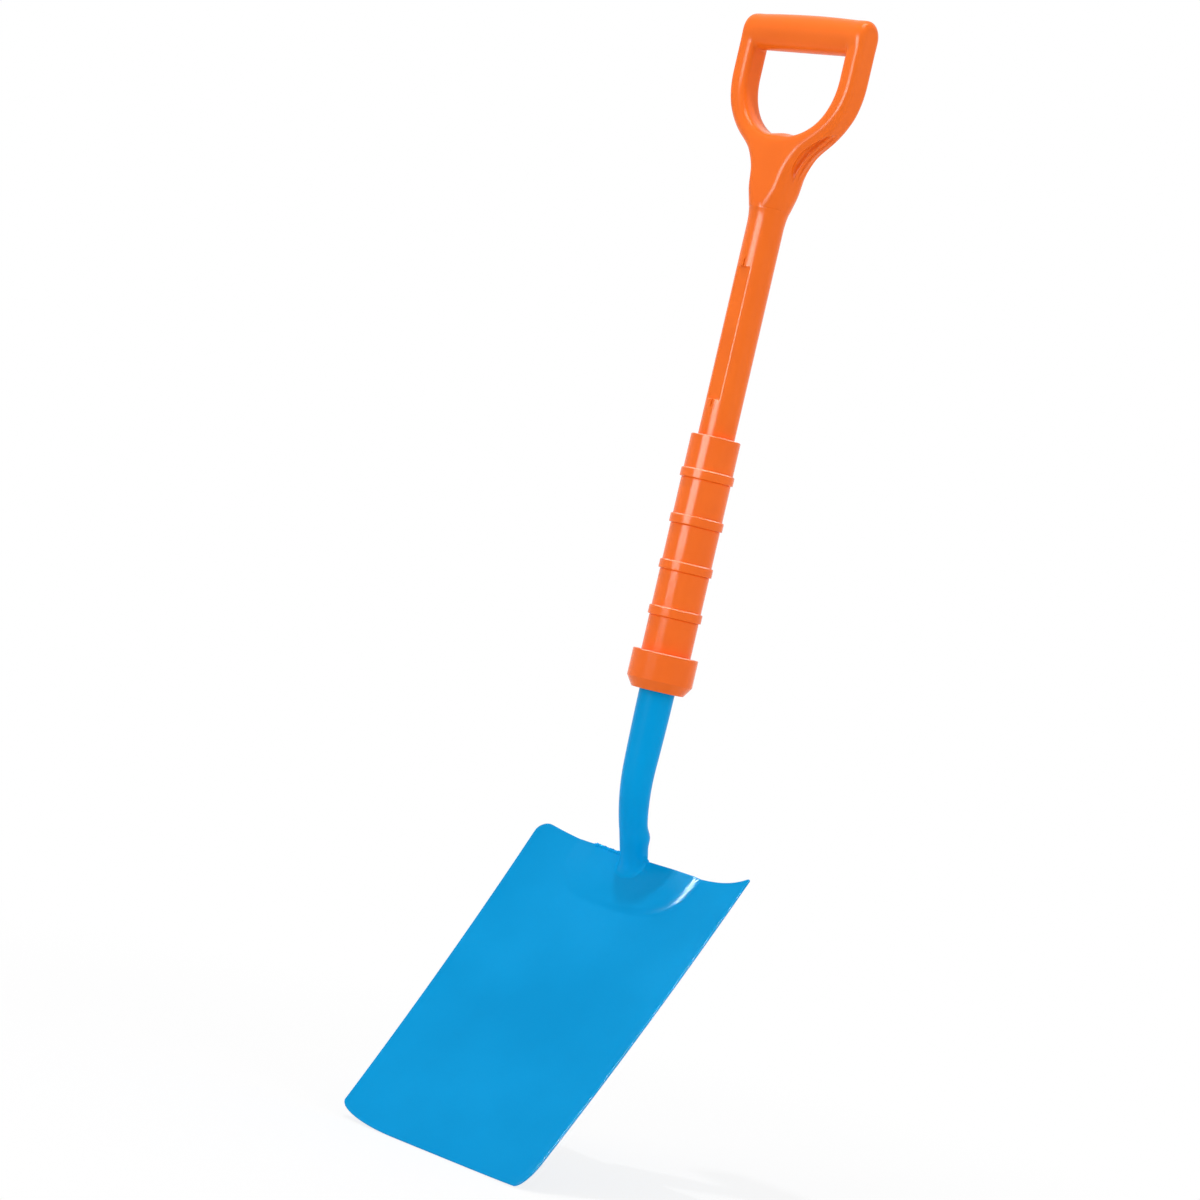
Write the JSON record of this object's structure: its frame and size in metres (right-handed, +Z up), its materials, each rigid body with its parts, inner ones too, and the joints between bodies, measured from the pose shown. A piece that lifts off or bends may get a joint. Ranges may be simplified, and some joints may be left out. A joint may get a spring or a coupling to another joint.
{
  "type": "shovel",
  "caption": "Taper mouth shovel with an insulated orange shaft, a moulded D grip, a ringed hand sleeve with a collar, and a blue painted steel blade on a cranked tube.",
  "frame": {"origin": "the hang point: underside of the grip's bar, at mid-width and mid-depth, where the shovel hangs on a rack peg", "axes": "+Z up the shaft towards the grip's bar, -Y out of the hollow front of the blade, +X across the blade and the grip"},
  "size_m": [0.2543, 0.1853, 1.0305],
  "materials": {
    "orange_plastic": "smooth moulded, semi-gloss",
    "blue_paint": "sprayed paint, satin",
    "glass_fibre": "pultruded rod, matt",
    "rivet_steel": "plain steel"
  },
  "bodies": {
    "root": {"blade": "blue_paint", "socket_tube": "blue_paint", "weld_front": "blue_paint", "weld_edge_left": "blue_paint", "weld_edge_right": "blue_paint", "weld_back_left": "blue_paint", "weld_back_right": "blue_paint", "shaft_core": "glass_fibre", "socket_rivet_lower": "rivet_steel", "socket_rivet_upper": "rivet_steel", "shaft_cover": "orange_plastic", "hand_sleeve": "orange_plastic", "collar": "orange_plastic", "grip": "orange_plastic"}
  },
  "joints": []
}
